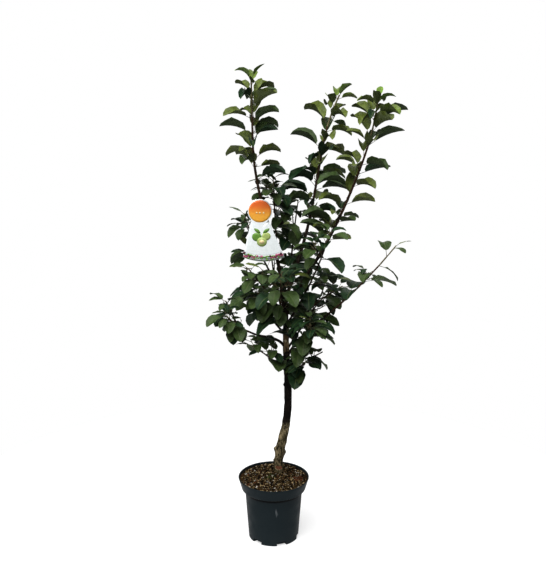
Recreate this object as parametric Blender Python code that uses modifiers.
"""A dwarf apple tree in a nursery pot.

Metres, +Z up. The origin is the middle of the pot's flat underside and the side seen first faces -Y.
Limbs lean by headings, and leaves grow round their stems by a seeded rule.
"""

import math
import random
from dataclasses import dataclass, replace

import bmesh
import bpy
import numpy as np
from mathutils.bvhtree import BVHTree

CLEAR = 0.0003

# Pot
POT_HEIGHT = 0.218
RIM_RADIUS = 0.120
COLLAR_DEPTH = 0.040
COLLAR_FOOT_RADIUS = 0.1085
SHOULDER_DROP = 0.005
WALL_TOP_RADIUS = 0.0975
BASE_RADIUS = 0.085
POT_WALL = 0.0015
POT_FLOOR = 0.003
POT_STEPS = 36
NOTCHES = 6
NOTCH_WIDTH = 0.034
NOTCH_HEIGHT = 0.013
NOTCH_INNER_RADIUS = 0.072
FIRST_NOTCH_TURN = -71.0

# Soil
SOIL_LEVEL = 0.2105
MOUND_RISE = 0.006
MOUND_FOOT_RADIUS = 0.052
MOUND_TOP_RADIUS = 0.031
MOUND_STEPS = 18

# Trunk
TRUNK_FOOT = (0.016, 0.058)
TRUNK_LENGTH = 0.665
TRUNK_HEADINGS = ((0, -4), (13.5, -4), (1, -4), (-4, -3), (0, -3), (-4, -3))
TRUNK_RADII = ((0.0, 0.0180), (0.03, 0.0158), (0.07, 0.0148), (0.11, 0.0160), (0.17, 0.0162),
               (0.22, 0.0145), (0.30, 0.0132), (0.62, 0.0113), (0.82, 0.0091), (1.0, 0.0076))
TRUNK_KNOBS = ((0.062, 150, 0.0062), (0.036, 20, 0.0055), (0.115, 25, 0.0070), (0.128, 165, 0.0060))
STUB_OFFSET = (0.0015, -0.013)
STUB_LEAN = 21.0
STUB_LENGTH = 0.030
STUB_RADIUS = 0.0135
TRUNK_SIDES = 10
GROUND_SIDE = 0.1
LIMB_SIDES = 8
STEM_SIDES = 6
TWIG_SIDES = 4
LIMB_STEP = 0.034

# Leaves
TURN = 137.5
STRETCH_NODES = 3
PETIOLE_SHARE = 0.26
PETIOLE_RADIUS = 0.0010
BLADE_THICKNESS = 0.0016
BLADE_SECTIONS = (0.25, 0.63)
TIP_SPACING = 0.008
UPRIGHT_NARROWS = 0.010
ASIDE = (0, 26, -26, 52, -52)
PROBE_START = 0.2
LEAF_CLEARANCE = 0.0012
SLEEVE_SIDES = 8
TWIG_LENGTH = 0.075
TWIG_RADIUS = 0.0018

# Hang tag
TAG_SHARE = 0.458
TAG_THICKNESS = 0.0010
TAG_HEAD_RADIUS = 0.0385
TAG_TOP_WIDTH = 0.054
TAG_FOOT_WIDTH = 0.134
TAG_CARD_HEIGHT = 0.122
TAG_BOW = 0.013
TAG_RING_SIDES = 16
TAG_RING_WALL = 0.0010
TAG_RING_HEIGHT = 0.007
TAG_STANDOFF = 0.005
TAG_STRAP_WIDTH = 0.007
TAG_ASIDE = -0.0045
TAG_SLANT = 0.012


@dataclass(frozen=True)
class Limb:
    """A limb or stem: where it springs from, its lean right and back in degrees, and its taper."""

    bearer: str
    share: float
    headings: tuple
    length: float
    foot: float
    tip: float


@dataclass(frozen=True)
class Habit:
    """How leaves grow in a place: slant from the stem, fall at the tip, fold, node spacing, length, tip count."""

    slant: tuple
    fall: tuple
    fold: tuple
    spacing: float
    blade: float
    tips: int


@dataclass(frozen=True)
class Foliage:
    """A mass of leaves: the bare share of its limb, and one seed for each stretch and each twig."""

    limb: str
    bare: float
    habit: Habit
    seeds: tuple
    twigs: tuple


SUNNY = Habit(slant=(36, 62), fall=(-48, 8), fold=(36, 60), spacing=0.0200, blade=0.089, tips=3)
SHADY = Habit(slant=(44, 78), fall=(-78, -22), fold=(8, 28), spacing=0.034, blade=0.086, tips=2)


LIMBS = {
    "left_bough": Limb("trunk", 0.983, ((-10, -7), (-16, -6), (-12, -8), (-1, -3), (-1, -2)),
                       0.705, 0.0066, 0.0022),
    "middle_bough": Limb("trunk", 0.950, ((20, 14), (17, 13), (10, 10), (10, 8), (26, 7)),
                         0.690, 0.0066, 0.0022),
    "right_bough": Limb("trunk", 0.883, ((25, -8), (31, -4), (23, -5), (18, -7), (5, -8)),
                        0.754, 0.0070, 0.0022),
    "low_right_bough": Limb("trunk", 0.650, ((28, -12), (48, -19), (42, -9), (36, -9)),
                            0.534, 0.0050, 0.0018),
    "low_left_bough": Limb("trunk", 0.700, ((-31, -14), (-75, -48), (-59, -40), (-17, -24), (-25, -28)),
                           0.312, 0.0046, 0.0018),
    "left_inner_stem": Limb("trunk", 0.817, ((-9, 15), (-6, 4), (-3, 0), (-3, 0)), 0.490, 0.0040, 0.0018),
    "tag_side_stem": Limb("trunk", 0.917, ((-23, 20), (-29, 11), (-17, 5)), 0.336, 0.0038, 0.0018),
    "left_middle_stem": Limb("trunk", 0.850, ((-26, -18), (-35, -19), (-36, -18)), 0.232, 0.0036, 0.0018),
    "back_centre_stem": Limb("trunk", 0.883, ((7, 28), (6, 19), (8, 9)), 0.380, 0.0038, 0.0018),
    "right_inner_stem": Limb("trunk", 0.817, ((28, -27), (22, -23), (13, -18)), 0.393, 0.0040, 0.0018),
    "low_right_stem": Limb("trunk", 0.733, ((27, 4), (46, 10), (66, 32)), 0.268, 0.0036, 0.0018),
    "low_front_stem": Limb("trunk", 0.600, ((21, -39), (26, -39), (-1, -29)), 0.277, 0.0036, 0.0018),
    "right_skirt_stem": Limb("trunk", 0.533, ((33, -32), (42, -31), (57, -33)), 0.179, 0.0034, 0.0018),
    "left_skirt_stem": Limb("trunk", 0.567, ((-41, -25), (-44, -35), (-49, -44)), 0.188, 0.0034, 0.0018),
    "back_left_stem": Limb("trunk", 0.767, ((-50, 50), (-42, 38), (-4, 21)), 0.285, 0.0038, 0.0018),
    "back_right_stem": Limb("trunk", 0.683, ((37, 36), (40, 38), (17, 33)), 0.292, 0.0038, 0.0018),
    "back_top_stem": Limb("trunk", 0.833, ((-21, 39), (-11, 33), (-1, 27)), 0.329, 0.0038, 0.0018),
    "front_stem": Limb("trunk", 0.783, ((-11, -43), (-6, -41), (8, -25)), 0.317, 0.0036, 0.0018),
}

MASSES = {
    "left_top_leaves": Foliage("left_bough", 0.525, SUNNY, (880, 546, 768, 136, 629, 1), ()),
    "middle_top_leaves": Foliage("middle_bough", 0.360, SUNNY, (368, 915, 895, 641, 746, 22, 107), ()),
    "right_top_leaves": Foliage("right_bough", 0.330, SUNNY, (666, 286, 937, 391, 405, 579, 635, 439), ()),
    "low_right_arm_leaves": Foliage("low_right_bough", 0.540, SHADY, (98, 881), ()),
    "low_left_arm_leaves": Foliage("low_left_bough", 0.500, SHADY, (80, 407), (27,)),
    "left_inner_leaves": Foliage("left_inner_stem", 0.50, SHADY, (279, 11), (258, 291)),
    "tag_side_leaves": Foliage("tag_side_stem", 0.30, SHADY, (183, 235), (3, 291)),
    "left_middle_leaves": Foliage("left_middle_stem", 0.25, SHADY, (151, 5), (148, 156)),
    "back_centre_leaves": Foliage("back_centre_stem", 0.25, SHADY, (85, 221), (309, 196)),
    "right_inner_leaves": Foliage("right_inner_stem", 0.30, SHADY, (210, 94), (156, 148)),
    "low_right_leaves": Foliage("low_right_stem", 0.25, SHADY, (316, 137), (261, 20)),
    "low_front_leaves": Foliage("low_front_stem", 0.25, SHADY, (96, 292), (171, 67)),
    "right_skirt_leaves": Foliage("right_skirt_stem", 0.20, SHADY, (292, 1), (297, 171)),
    "left_skirt_leaves": Foliage("left_skirt_stem", 0.20, SHADY, (171, 1), (203, 147)),
    "back_left_leaves": Foliage("back_left_stem", 0.25, SHADY, (301, 65), (307, 153)),
    "back_right_leaves": Foliage("back_right_stem", 0.25, SHADY, (287, 225), (196, 250)),
    "back_top_leaves": Foliage("back_top_stem", 0.30, SHADY, (255, 56), (129, 36)),
    "front_leaves": Foliage("front_stem", 0.30, SHADY, (142, 207), (218, 69)),
}


def unit(vectors):
    """The same vectors at length 1."""
    return vectors / np.linalg.norm(vectors, axis=-1, keepdims=True)


def heading_path(start, headings, length):
    """Points along a limb whose lean eases from one heading to the next at even steps."""
    steps = max(3, round(length / LIMB_STEP))
    middles = (np.arange(steps) + 0.5) / steps
    knots = np.linspace(0, 1, len(headings))
    right, back = np.radians(np.array(headings, float)).T
    slopes = [np.tan(np.interp(middles, knots, right)), np.tan(np.interp(middles, knots, back))]
    along = unit(np.stack(slopes + [np.ones(steps)], axis=1))
    return np.vstack([start, start + np.cumsum(along * length / steps, axis=0)])


def path_shares(path):
    """The share of its length reached at each point of a path."""
    gaps = np.linalg.norm(np.diff(path, axis=0), axis=1)
    return np.concatenate([[0], np.cumsum(gaps)]) / gaps.sum()


def point_at(path, share):
    """The point, and the direction of growth there, at a share of a path's length."""
    reached = path_shares(path)
    point = np.array([np.interp(share, reached, path[:, axis]) for axis in range(3)])
    step = min(np.searchsorted(reached, share, side="right"), len(path) - 1) - 1
    return point, unit(path[step + 1] - path[step])


def stretch_of(path, first, last):
    """The part of a path between two shares of its length."""
    reached = path_shares(path)
    margin = 0.25 / (len(path) - 1)
    inner = path[(reached > first + margin) & (reached < last - margin)]
    return np.vstack([point_at(path, first)[0], inner, point_at(path, last)[0]])


def side_of(along, degrees):
    """The direction square to a stem at a turn about it: 0 to the right, 90 to the back."""
    back = unit(np.array([0.0, 1.0, 0.0]) - along[1] * along)
    right = np.cross(back, along)
    turn = math.radians(degrees)
    return math.cos(turn) * right + math.sin(turn) * back


@dataclass(frozen=True)
class Leaf:
    """One leaf: its root on a stem's axis, its heading, its rise at the root and at the tip, its sizes."""

    root: np.ndarray
    heading: float
    rise: float
    fall: float
    petiole: float
    blade: float
    half_width: float
    fold: float
    roll: float


def leaf_on(dice, habit, root, along, turn, scale, upright=0.0):
    """A leaf drawn by the dice: it leaves its stem at a slant, then arches over under its own weight.

    An upright leaf, at a shoot's tip, is nearer to the stem's direction, narrower and less folded.
    """
    turn += dice.uniform(-28, 28)
    slant = math.radians(dice.uniform(*habit.slant) - upright)
    out = math.cos(slant) * along + math.sin(slant) * side_of(along, turn)
    fall = math.radians(dice.uniform(*habit.fall) + 1.2 * upright)
    blade = scale * habit.blade * dice.uniform(0.82, 1.12)
    half_width = blade * dice.uniform(0.31, 0.38) * (1 - UPRIGHT_NARROWS * upright)
    fold = math.radians(dice.uniform(*habit.fold) - upright)
    roll = math.radians(dice.uniform(-22, 22))
    rise = min(math.asin(out[2]), math.radians(74))
    heading = math.atan2(out[1], out[0])
    petiole = PETIOLE_SHARE * blade + 0.004
    return Leaf(root, heading, rise, min(fall, rise), petiole, blade, half_width, fold, roll)


def leaves_along(path, habit, seeds):
    """Leaves at even nodes up a stem, each a turn on from the last, and a few young ones at its tip."""
    length = np.linalg.norm(np.diff(path, axis=0), axis=1).sum()
    nodes = max(1, round(length / habit.spacing) - 1)
    leaves = []
    for node in range(nodes):
        if node % STRETCH_NODES == 0 and node // STRETCH_NODES < len(seeds):
            dice = random.Random(seeds[node // STRETCH_NODES])
            turn = dice.uniform(0, 360)
        share = (node + 0.5 + dice.uniform(-0.3, 0.3)) / (nodes + 0.6)
        root, along = point_at(path, share)
        youth = min(1.0, 0.62 + 0.10 * (nodes - node))
        leaves.append(leaf_on(dice, habit, root, along, turn, youth))
        turn += TURN
    root, along = point_at(path, 1.0)
    for young in range(habit.tips):
        place = root - along * TIP_SPACING * (habit.tips - young - 0.4)
        leaves.append(leaf_on(dice, habit, place, along, turn, 0.64 - 0.06 * young, 10 + 9 * young))
        turn += TURN
    return leaves


def twig_path(dice, path, share):
    """A side twig: it leaves the stem at a slant and turns up towards the light."""
    root, along = point_at(path, share)
    slant = math.radians(dice.uniform(42, 68))
    out = math.cos(slant) * along + math.sin(slant) * side_of(along, dice.uniform(0, 360))
    up = unit(out + np.array([0, 0, 0.9]))
    length = TWIG_LENGTH * dice.uniform(0.65, 1.2)
    bend = np.linspace(0, 1, 4)[:, None]
    return root + length * (bend * out + 0.5 * bend**2 * (up - out))


def twig_share(number, count):
    """Where along its stem one of a count of twigs stands."""
    return (number + 0.7) / (count + 0.6)


def side_twigs(path, foliage):
    """The side twigs of a mass's stem, each with the leaves that it would carry."""
    twigs = []
    for number, seed in enumerate(foliage.twigs):
        dice = random.Random(seed)
        twig = twig_path(dice, path, twig_share(number, len(foliage.twigs)))
        twigs.append((twig, leaves_along(twig, foliage.habit, (dice.randrange(10**6),))))
    return twigs


def limb_paths():
    """The centre line of each limb, from its bearer's axis to its tip."""
    foot = np.array([*TRUNK_FOOT, SOIL_LEVEL + MOUND_RISE - 0.01])
    paths = {"trunk": heading_path(foot, TRUNK_HEADINGS, TRUNK_LENGTH)}
    for name, limb in LIMBS.items():
        start = point_at(paths[limb.bearer], limb.share)[0]
        paths[name] = heading_path(start, limb.headings, limb.length)
    return paths


def cut_share(path, bare):
    """The share in the middle of the path's step nearest to where the leaves begin."""
    steps = len(path) - 1
    return (math.floor(bare * steps) + 0.5) / steps


def mass_stem(path, foliage):
    """The leafy part of a limb, past the cut where its bough ends."""
    return stretch_of(path, cut_share(path, foliage.bare), 1.0)


def midrib(leaf, shares):
    """Points at shares of a leaf's whole length, and its rise there, as it arches over."""
    steps = np.linspace(0, 1, 25)
    rise = leaf.rise + (leaf.fall - leaf.rise) * steps**1.25
    middle = (rise[1:] + rise[:-1]) / 2
    step = (leaf.petiole + leaf.blade) / 24
    out = np.concatenate([[0], np.cumsum(np.cos(middle))]) * step
    up = np.concatenate([[0], np.cumsum(np.sin(middle))]) * step
    along = np.interp(shares, steps, out)
    heading = np.array([math.cos(leaf.heading), math.sin(leaf.heading), 0.0])
    points = leaf.root + along[:, None] * heading + np.interp(shares, steps, up)[:, None] * [0, 0, 1]
    return points, np.interp(shares, steps, rise)


def blade_half_width(leaf, place):
    """Half of the blade's width at a share of the blade: an egg shape with a drawn-out point."""
    return leaf.half_width * np.sin(np.pi * place**0.82) ** 0.8


def leaf_mesh(leaf, first=0.0, swell=0.0):
    """A leaf as rings of left edge, top, right edge and underside, closed by its point.

    Its faces are split alike above and below, so a folded blade never crosses itself.
    """
    whole = leaf.petiole + leaf.blade
    base = leaf.petiole / whole
    shares = np.array([first * base, base] + [base + place * (1 - base) for place in BLADE_SECTIONS] + [1.0])
    centres, rises = midrib(leaf, shares)
    heading = np.array([math.cos(leaf.heading), math.sin(leaf.heading), 0.0])
    along = np.cos(rises)[:, None] * heading + np.sin(rises)[:, None] * [0, 0, 1]
    level = np.cross(heading, [0, 0, 1.0])
    above = np.cross(level, along)
    roll = leaf.roll * np.linspace(0, 1, len(shares))[:, None]
    across = np.cos(roll) * level + np.sin(roll) * above
    top = np.cross(across, along)
    places = (shares - base) / (1 - base)
    widths = np.full(len(shares), PETIOLE_RADIUS)
    blade = (places > 0.01) & (places < 0.99)
    widths[blade] = blade_half_width(leaf, places[blade])
    folds = np.where(blade, leaf.fold, 0.0)
    thick = np.where(blade, BLADE_THICKNESS / 2, PETIOLE_RADIUS) + swell
    wide = (widths + swell)[:, None]
    left = centres + wide * (np.cos(folds)[:, None] * across + np.sin(folds)[:, None] * top)
    right = centres + wide * (-np.cos(folds)[:, None] * across + np.sin(folds)[:, None] * top)
    over = centres + thick[:, None] * top
    under = centres - thick[:, None] * top
    rings = np.stack([left, over, right, under], axis=1)[:-1]
    points = np.vstack([rings.reshape(-1, 3), centres[-1]])
    faces = [(0, 1, 2, 3)]
    for ring in range(0, 4 * (len(rings) - 1), 4):
        for edge, other in ((0, 1), (2, 3)):
            faces.append((ring + edge, ring + other + 4, ring + other))
            faces.append((ring + edge, ring + edge + 4, ring + other + 4))
        for other, edge in ((1, 2), (3, 0)):
            faces.append((ring + other, ring + other + 4, ring + edge))
            faces.append((ring + edge, ring + other + 4, ring + edge + 4))
    last = 4 * (len(rings) - 1)
    faces += [(last + 4, last + (side + 1) % 4, last + side) for side in range(4)]
    return points, faces


def limb_radii(limb, shares):
    """A limb's radius at shares of its length: it tapers a little faster near its foot."""
    return limb.foot + (limb.tip - limb.foot) * np.asarray(shares) ** 0.8


class Room:
    """The space that limbs, stems and leaves fill so far."""

    def __init__(self):
        self.filled = []

    @staticmethod
    def entry(points, faces):
        """A piece's faces as a search tree, with the middle and the reach of the ball round it."""
        middle = (points.max(axis=0) + points.min(axis=0)) / 2
        reach = np.linalg.norm(points - middle, axis=1).max()
        return middle, reach, BVHTree.FromPolygons(points.tolist(), faces)

    def add(self, name, points, faces):
        """Fills the space of a named piece."""
        self.filled.append((name, *self.entry(points, faces)))

    def is_free(self, points, faces, bearer=None):
        """Whether a piece would touch nothing that is there, apart from what bears it."""
        middle, reach, tree = self.entry(points, faces)
        for name, other_middle, other_reach, other in self.filled:
            near = np.linalg.norm(middle - other_middle) < reach + other_reach
            if near and name != bearer and tree.overlap(other):
                return False
        return True


def sleeve(path, radii):
    """An open tube round a path, as points and faces, that stands for a limb or a twig."""
    along = unit(np.gradient(path, axis=0))
    turns = np.arange(SLEEVE_SIDES) * 360 / SLEEVE_SIDES
    sides = np.array([[side_of(way, turn) for turn in turns] for way in along])
    points = path[:, None] + np.broadcast_to(radii, len(path))[:, None, None] * sides
    faces = []
    for ring in range(len(path) - 1):
        for side in range(SLEEVE_SIDES):
            low = SLEEVE_SIDES * ring + side
            high = SLEEVE_SIDES * ring + (side + 1) % SLEEVE_SIDES
            faces.append((low, high, high + SLEEVE_SIDES, low + SLEEVE_SIDES))
    return points.reshape(-1, 3), faces


def tag_place(path):
    """The middle of the band of the tag, the direction of its bough, and the middle of the tag's head."""
    centre, along = point_at(path, TAG_SHARE)
    ahead = limb_radii(LIMBS["left_bough"], TAG_SHARE) + CLEAR + TAG_RING_WALL + TAG_STANDOFF
    return centre, along, centre + [TAG_ASIDE, -ahead, TAG_RING_HEIGHT - TAG_HEAD_RADIUS]


def tag_slab(path):
    """A flat box a little wider than the tag's card, as points and faces, that stands for the tag."""
    head = tag_place(path)[2]
    across = TAG_FOOT_WIDTH / 2 + TAG_SLANT
    down = TAG_HEAD_RADIUS + TAG_CARD_HEIGHT
    corners = [(-across, -TAG_THICKNESS, -down), (across, -TAG_THICKNESS, -down),
               (across, TAG_THICKNESS, -down), (-across, TAG_THICKNESS, -down)]
    points = np.array(corners + [(x, y, TAG_HEAD_RADIUS) for x, y, _ in corners])
    faces = [(0, 1, 2, 3), (4, 5, 6, 7), (0, 1, 5, 4), (1, 2, 6, 5), (2, 3, 7, 6), (3, 0, 4, 7)]
    return head + points, faces


def room_round(paths):
    """The room left by the trunk, every limb and stem, and the hang tag."""
    room = Room()
    at, radii = np.array(TRUNK_RADII).T
    room.add("trunk", *sleeve(paths["trunk"], np.interp(path_shares(paths["trunk"]), at, radii)))
    for name, limb in LIMBS.items():
        room.add(name, *sleeve(paths[name], limb_radii(limb, path_shares(paths[name]))))
    room.add("hang_tag", *tag_slab(paths["left_bough"]))
    return room


def placed_leaf(room, leaf, bearer):
    """The leaf turned aside to where it touches nothing, or None where no turn is free."""
    for turn in ASIDE:
        tried = replace(leaf, heading=leaf.heading + math.radians(turn))
        if room.is_free(*leaf_mesh(tried, first=PROBE_START, swell=LEAF_CLEARANCE), bearer):
            room.add("leaf", *leaf_mesh(tried))
            return tried
    return None


def grow_masses(paths, room):
    """The twigs and the leaves of each mass that find room, the twigs of every mass first."""
    kept = {}
    drawn = {}
    for name, foliage in MASSES.items():
        stem = mass_stem(paths[foliage.limb], foliage)
        kept[name] = []
        drawn[name] = [(foliage.limb, leaves_along(stem, foliage.habit, foliage.seeds))]
        for number, (twig, leaves) in enumerate(side_twigs(stem, foliage)):
            if room.is_free(*sleeve(twig, TWIG_RADIUS + LEAF_CLEARANCE), foliage.limb):
                bearer = f"{name}_twig_{number + 1}"
                room.add(bearer, *sleeve(twig, TWIG_RADIUS))
                kept[name].append(twig)
                drawn[name].append((bearer, leaves))
    masses = {}
    for name, bearers in drawn.items():
        tried = [placed_leaf(room, leaf, bearer) for bearer, leaves in bearers for leaf in leaves]
        masses[name] = (kept[name], [leaf for leaf in tried if leaf])
    return masses


def clear_scene():
    """Removes every object of the scene that the script starts in."""
    for obj in list(bpy.data.objects):
        bpy.data.objects.remove(obj, do_unlink=True)


def new_group(name, cutters=False):
    """A collection in the scene. The cutters' one is left out of a render."""
    group = bpy.data.collections.new(name)
    group.hide_render = cutters
    bpy.context.scene.collection.children.link(group)
    return group


def new_finish(name, colour, roughness):
    """A plain surface: its colour and its roughness."""
    finish = bpy.data.materials.new(name)
    finish.use_nodes = True
    finish.diffuse_color = (*colour, 1.0)
    shader = finish.node_tree.nodes["Principled BSDF"]
    shader.inputs["Base Color"].default_value = (*colour, 1.0)
    shader.inputs["Roughness"].default_value = roughness
    shader.inputs["Metallic"].default_value = 0.0
    return finish


def new_object(name, data, group, finish=None):
    """An object with this mesh or curve, in the group."""
    obj = bpy.data.objects.new(name, data)
    group.objects.link(obj)
    if finish:
        data.materials.append(finish)
    return obj


def mesh_data(mesh):
    """A mesh's points as rows, and its faces as lists of their numbers."""
    points = np.empty(len(mesh.vertices) * 3, np.float32)
    mesh.vertices.foreach_get("co", points)
    return points.reshape(-1, 3).astype(float), [tuple(face.vertices) for face in mesh.polygons]


def mesh_of(name, points, faces):
    """A mesh of these points and faces."""
    mesh = bpy.data.meshes.new(name)
    mesh.from_pydata(np.asarray(points).tolist(), [], faces)
    return mesh


def closed_outward(mesh):
    """The same mesh with doubled points merged and its faces turned outward."""
    bm = bmesh.new()
    bm.from_mesh(mesh)
    bmesh.ops.remove_doubles(bm, verts=bm.verts, dist=1e-6)
    bmesh.ops.recalc_face_normals(bm, faces=bm.faces)
    bm.to_mesh(mesh)
    bm.free()
    return mesh


def box_mesh(name, size, centre=(0.0, 0.0, 0.0)):
    """The mesh of a box of this size round its centre."""
    bm = bmesh.new()
    bmesh.ops.create_cube(bm, size=1.0)
    bmesh.ops.scale(bm, vec=size, verts=bm.verts)
    bmesh.ops.translate(bm, vec=centre, verts=bm.verts)
    mesh = bpy.data.meshes.new(name)
    bm.to_mesh(mesh)
    bm.free()
    return mesh


def settle(obj):
    """Makes what the modifiers give the object's own mesh."""
    graph = bpy.context.evaluated_depsgraph_get()
    mesh = bpy.data.meshes.new_from_object(obj.evaluated_get(graph))
    obj.modifiers.clear()
    obj.data = mesh


def boolean(obj, operation, other, solver="EXACT"):
    """A Boolean with an object, or with every object of a collection."""
    modifier = obj.modifiers.new(operation.lower(), "BOOLEAN")
    modifier.operation = operation
    modifier.solver = solver
    if isinstance(other, bpy.types.Collection):
        modifier.operand_type = "COLLECTION"
        modifier.collection = other
    else:
        modifier.object = other


def remove_all(objects):
    """Takes helper objects out of the file."""
    for obj in list(objects):
        bpy.data.objects.remove(obj, do_unlink=True)


def cutter(name, mesh, cutters):
    """An object that only cuts others."""
    obj = new_object(name, mesh, cutters)
    obj.hide_render = True
    obj.display_type = "WIRE"
    return obj


def turned(name, profile, group, finish):
    """A round piece: its profile runs down the outer side and is carried round the upright axis."""
    edges = [(point, point + 1) for point in range(len(profile) - 1)]
    mesh = bpy.data.meshes.new(name)
    mesh.from_pydata([(radius, 0.0, height) for radius, height in profile], edges, [])
    obj = new_object(name, mesh, group, finish)
    screw = obj.modifiers.new("turn", "SCREW")
    screw.steps = screw.render_steps = POT_STEPS
    screw.use_merge_vertices = True
    screw.merge_threshold = 0.0001
    return obj


def tube(name, path, radii, sides, group, finish=None):
    """A tapering limb: a curve with a round bevel and flat caps, made a mesh."""
    curve = bpy.data.curves.new(name, "CURVE")
    curve.dimensions = "3D"
    curve.bevel_depth = 1.0
    curve.bevel_resolution = (sides - 4) // 2
    curve.use_fill_caps = True
    spline = curve.splines.new("POLY")
    spline.points.add(len(path) - 1)
    for point, place, radius in zip(spline.points, path, radii):
        point.co = (*place, 1.0)
        point.radius = radius
    guide = new_object(name + "_guide", curve, group)
    bpy.context.view_layer.update()
    graph = bpy.context.evaluated_depsgraph_get()
    mesh = closed_outward(bpy.data.meshes.new_from_object(guide.evaluated_get(graph)))
    obj = new_object(name, mesh, group, finish)
    obj.matrix_world = guide.matrix_world
    bpy.data.objects.remove(guide, do_unlink=True)
    return obj


def shade_round(obj):
    """Smooth shading, with the sharp edges kept."""
    obj.data.shade_smooth()
    obj.data.set_sharp_from_angle(angle=math.radians(40))


def one_body(mesh):
    """Keeps a mesh's largest shell, without scrap or sealed hollows, and says whether that is closed."""
    bm = bmesh.new()
    bm.from_mesh(mesh)
    shells = []
    left = set(bm.verts)
    while left:
        shell = {left.pop()}
        edge_of = list(shell)
        while edge_of:
            for edge in edge_of.pop().link_edges:
                for vert in edge.verts:
                    if vert in left:
                        left.discard(vert)
                        shell.add(vert)
                        edge_of.append(vert)
        shells.append(shell)
    shells.sort(key=len)
    for shell in shells[:-1]:
        bmesh.ops.delete(bm, geom=list(shell), context="VERTS")
    bmesh.ops.triangulate(bm, faces=bm.faces)
    closed = not any(edge.is_boundary or edge.is_wire for edge in bm.edges)
    bm.to_mesh(mesh)
    bm.free()
    return closed


def limb_piece(name, limb, path, first, last, sides, group, finish, swell=0.0):
    """The solid of a limb between two shares of its length."""
    piece = stretch_of(path, first, last)
    shares = first + (last - first) * path_shares(piece)
    return tube(name, piece, limb_radii(limb, shares) + swell, sides, group, finish)


def build_pot(group, cutters, finish):
    """A thin-walled pot: a deep collar over a tapered wall, a flat floor, and notches round its foot."""
    collar_foot = POT_HEIGHT - COLLAR_DEPTH
    outer = [
        (RIM_RADIUS, POT_HEIGHT),
        (COLLAR_FOOT_RADIUS, collar_foot),
        (WALL_TOP_RADIUS, collar_foot - SHOULDER_DROP),
        (BASE_RADIUS, 0.0),
        (0.0, 0.0),
    ]
    inner = [
        (0.0, POT_FLOOR),
        (BASE_RADIUS - POT_WALL, POT_FLOOR),
        (WALL_TOP_RADIUS - POT_WALL, collar_foot - SHOULDER_DROP + POT_WALL),
        (COLLAR_FOOT_RADIUS - POT_WALL, collar_foot + POT_WALL),
        (RIM_RADIUS - POT_WALL, POT_HEIGHT),
    ]
    pot = turned("pot", inner + outer, group, finish)
    depth = 2 * (BASE_RADIUS - NOTCH_INNER_RADIUS)
    for number in range(NOTCHES):
        turn = math.radians(FIRST_NOTCH_TURN + 360 * number / NOTCHES)
        for piece, swell in (("pot", 0.0), ("soil", CLEAR)):
            size = (depth + 2 * swell, NOTCH_WIDTH + 2 * swell, 2 * NOTCH_HEIGHT + 2 * swell)
            name = f"{piece}_notch_{number + 1}"
            notch = cutter(name, box_mesh(name, size, (NOTCH_INNER_RADIUS + depth / 2, 0, 0)), cutters)
            notch.rotation_euler.z = turn
            if piece == "pot":
                boolean(pot, "DIFFERENCE", notch)
    bpy.context.view_layer.update()
    settle(pot)
    shade_round(pot)
    return pot


def build_soil(group, cutters, finish):
    """The pot's filling of bark compost, with a low mound under the trunk."""
    collar_foot = POT_HEIGHT - COLLAR_DEPTH
    inset = POT_WALL + 1.3 * CLEAR
    rise = (SOIL_LEVEL - collar_foot) / COLLAR_DEPTH
    top_radius = COLLAR_FOOT_RADIUS + rise * (RIM_RADIUS - COLLAR_FOOT_RADIUS) - inset
    profile = [
        (0.0, SOIL_LEVEL),
        (top_radius, SOIL_LEVEL),
        (COLLAR_FOOT_RADIUS - inset, collar_foot + POT_WALL + CLEAR),
        (WALL_TOP_RADIUS - inset, collar_foot - SHOULDER_DROP + POT_WALL + CLEAR),
        (BASE_RADIUS - inset, POT_FLOOR + CLEAR),
        (0.0, POT_FLOOR + CLEAR),
    ]
    soil = turned("soil", profile, group, finish)
    for notch in cutters.objects:
        if notch.name.startswith("soil_notch"):
            boolean(soil, "DIFFERENCE", notch)
    bm = bmesh.new()
    bmesh.ops.create_cone(bm, cap_ends=True, segments=MOUND_STEPS, radius1=MOUND_FOOT_RADIUS,
                          radius2=MOUND_TOP_RADIUS, depth=2 * MOUND_RISE)
    bmesh.ops.translate(bm, vec=(*TRUNK_FOOT, SOIL_LEVEL), verts=bm.verts)
    mesh = bpy.data.meshes.new("mound")
    bm.to_mesh(mesh)
    bm.free()
    boolean(soil, "UNION", cutter("mound", mesh, cutters))
    bpy.context.view_layer.update()
    settle(soil)
    return soil


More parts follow.
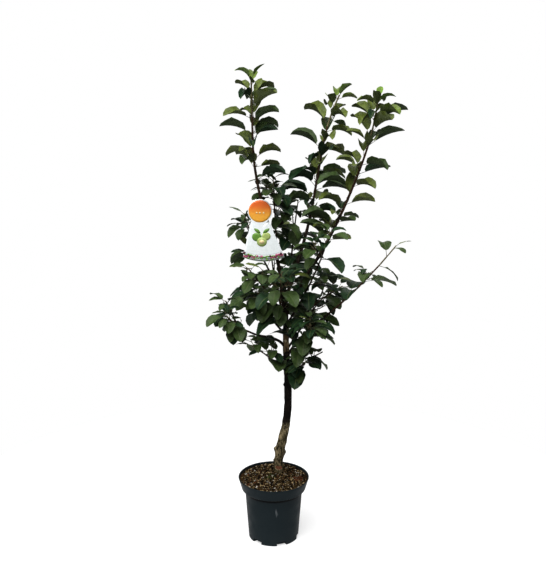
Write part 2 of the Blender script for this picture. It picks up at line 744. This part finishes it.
def build_trunk(path, group, cutters, finish):
    """The trunk from its flat cut on the soil to its fork, with the old graft's swelling and knobs."""
    shares = path_shares(path)
    at, radii = np.array(TRUNK_RADII).T
    trunk = tube("trunk", path, np.interp(shares, at, radii), TRUNK_SIDES, group, finish)
    swollen = np.interp(shares, at, radii) + 1.1 * CLEAR
    end = path[-1] + unit(path[-1] - path[-2]) * 1.1 * CLEAR
    seat = tube("trunk_seat", np.vstack([path, end]), np.append(swollen, swollen[-1]), TRUNK_SIDES, cutters)
    seat.hide_render = True
    seat.display_type = "WIRE"
    knobs = new_group("Knobs")
    for share, turn, radius in TRUNK_KNOBS:
        centre, along = point_at(path, share)
        centre = centre + side_of(along, turn) * (np.interp(share, at, radii) - 0.25 * radius)
        bm = bmesh.new()
        bmesh.ops.create_uvsphere(bm, u_segments=8, v_segments=5, radius=radius)
        bmesh.ops.scale(bm, vec=(1.0, 1.0, 1.3), verts=bm.verts)
        bmesh.ops.translate(bm, vec=centre, verts=bm.verts)
        mesh = bpy.data.meshes.new("knob")
        bm.to_mesh(mesh)
        bm.free()
        new_object("knob", mesh, knobs)
    foot = path[0] + [*STUB_OFFSET, 0.0]
    lean = math.radians(STUB_LEAN)
    cut = foot + STUB_LENGTH * np.array([0.0, -math.sin(lean), math.cos(lean)])
    tube("stub", np.array([foot, cut]), (STUB_RADIUS, STUB_RADIUS * 0.96), TRUNK_SIDES, knobs)
    boolean(trunk, "UNION", knobs)
    level = SOIL_LEVEL + MOUND_RISE + CLEAR
    ground = box_mesh("ground", (GROUND_SIDE, GROUND_SIDE, GROUND_SIDE), (*TRUNK_FOOT, level - GROUND_SIDE / 2))
    boolean(trunk, "DIFFERENCE", cutter("ground", ground, cutters))
    bpy.context.view_layer.update()
    settle(trunk)
    remove_all(knobs.objects)
    bpy.data.collections.remove(knobs)
    shade_round(trunk)
    return seat


def build_limbs(paths, group, cutters, seat, wood):
    """The boughs, each to where its leaves begin, and the stem of each mass, which it gives by name."""
    seats = [seat]
    stems = {}
    for name, foliage in MASSES.items():
        limb = LIMBS[foliage.limb]
        path = paths[foliage.limb]
        gap = CLEAR / 2 / limb.length
        cut = cut_share(path, foliage.bare)
        if foliage.limb.endswith("bough"):
            piece = limb_piece(foliage.limb, limb, path, 0.0, cut - gap, LIMB_SIDES, group, wood)
            stems[name] = limb_piece(name, limb, path, cut + gap, 1.0, STEM_SIDES, group, None)
        else:
            piece = limb_piece(name, limb, path, 0.0, 1.0, STEM_SIDES, group, None)
            stems[name] = piece
        swollen = limb_piece(foliage.limb + "_seat", limb, path, 0.0, 0.3, LIMB_SIDES, cutters, None,
                             swell=1.2 * CLEAR)
        swollen.hide_render = True
        swollen.display_type = "WIRE"
        tree = BVHTree.FromPolygons(*mesh_data(piece.data))
        for other in seats:
            if tree.overlap(BVHTree.FromPolygons(*mesh_data(other.data))):
                boolean(piece, "DIFFERENCE", other)
        bpy.context.view_layer.update()
        settle(piece)
        one_body(piece.data)
        seats.append(swollen)
        if piece.name == foliage.limb:
            shade_round(piece)
    return stems


def tag_outline():
    """The tag's outline from its head's middle: most of a circle, over a card that flares to a bowed foot."""
    neck = math.acos(TAG_TOP_WIDTH / 2 / TAG_HEAD_RADIUS)
    turns = np.linspace(-neck, math.pi + neck, 17)
    outline = [(TAG_HEAD_RADIUS * math.cos(turn), TAG_HEAD_RADIUS * math.sin(turn)) for turn in turns]
    foot = outline[0][1] - TAG_CARD_HEIGHT
    for across in np.linspace(-1, 1, 7):
        outline.append((TAG_SLANT + across * TAG_FOOT_WIDTH / 2, foot - TAG_BOW * (1 - across**2)))
    return outline


def build_tag(path, group, cutters, finish):
    """A hang tag: a round head over a flared card, on a band that rings the left bough."""
    centre, along, head = tag_place(path)
    limb = LIMBS["left_bough"]
    hole = (limb_radii(limb, TAG_SHARE) + 1.3 * CLEAR) / math.cos(math.pi / TAG_RING_SIDES)
    outside = hole + TAG_RING_WALL
    half = along * TAG_RING_HEIGHT / 2
    ring = tube("hang_tag", np.array([centre - half, centre + half]), (outside, outside), TAG_RING_SIDES,
                group, finish)
    bore = tube("tag_bore", np.array([centre - 2 * half, centre + 2 * half]), (hole, hole), TAG_RING_SIDES,
                cutters)
    bore.hide_render = True
    bore.display_type = "WIRE"
    parts = new_group("Tag pieces")
    points = [(across, side * TAG_THICKNESS / 2, up) for side in (-1, 1) for across, up in tag_outline()]
    count = len(points) // 2
    faces = [tuple(range(count - 1, -1, -1)), tuple(range(count, 2 * count))]
    faces += [(point, (point + 1) % count, (point + 1) % count + count, point + count) for point in range(count)]
    new_object("tag_card", closed_outward(mesh_of("tag_card", head + np.array(points), faces)), parts)
    reach = centre[1] - outside + TAG_RING_WALL - head[1]
    strap = box_mesh("tag_strap", (TAG_STRAP_WIDTH, reach, 0.8 * TAG_RING_HEIGHT),
                     (centre[0], head[1] + reach / 2, centre[2]))
    new_object("tag_strap", strap, parts)
    boolean(ring, "UNION", parts)
    boolean(ring, "DIFFERENCE", bore)
    bpy.context.view_layer.update()
    settle(ring)
    remove_all(parts.objects)
    bpy.data.collections.remove(parts)


def join_mass(stem, twigs, leaves, group, finish):
    """Fuses a mass's twigs and leaves to its stem as one closed body."""
    name = stem.name
    plain = stem.data
    for solver, kept in (("EXACT", len(leaves)), ("MANIFOLD", len(leaves)), ("EXACT", len(leaves) * 3 // 4)):
        pieces = new_group("Joined pieces")
        for twig in twigs:
            radii = np.linspace(TWIG_RADIUS, TWIG_RADIUS * 0.8, len(twig))
            tube("twig", twig, radii, TWIG_SIDES, pieces)
        for leaf in leaves[:kept]:
            new_object("leaf", mesh_of("leaf", *leaf_mesh(leaf)), pieces)
        stem.data = plain
        boolean(stem, "UNION", pieces, solver)
        bpy.context.view_layer.update()
        settle(stem)
        remove_all(pieces.objects)
        bpy.data.collections.remove(pieces)
        if one_body(stem.data):
            break
    stem.data.materials.clear()
    stem.data.materials.append(finish)
    return stem


def main():
    """Builds the pot, soil, trunk, boughs, hang tag and masses of leaves."""
    clear_scene()
    tree = new_group("Dwarf apple tree")
    cutters = new_group("Cutters", cutters=True)
    bark = new_finish("Bark", (0.060, 0.048, 0.036), 0.80)
    leaf_green = new_finish("Leaf", (0.055, 0.110, 0.030), 0.50)
    build_pot(tree, cutters, new_finish("Pot plastic", (0.018, 0.022, 0.026), 0.42))
    build_soil(tree, cutters, new_finish("Bark compost", (0.050, 0.030, 0.018), 0.95))
    paths = limb_paths()
    seat = build_trunk(paths["trunk"], tree, cutters, bark)
    stems = build_limbs(paths, tree, cutters, seat, bark)
    build_tag(paths["left_bough"], tree, cutters, new_finish("Printed card", (0.80, 0.82, 0.84), 0.45))
    for name, (twigs, leaves) in grow_masses(paths, room_round(paths)).items():
        join_mass(stems[name], twigs, leaves, tree, leaf_green)


if __name__ == "__main__":
    main()
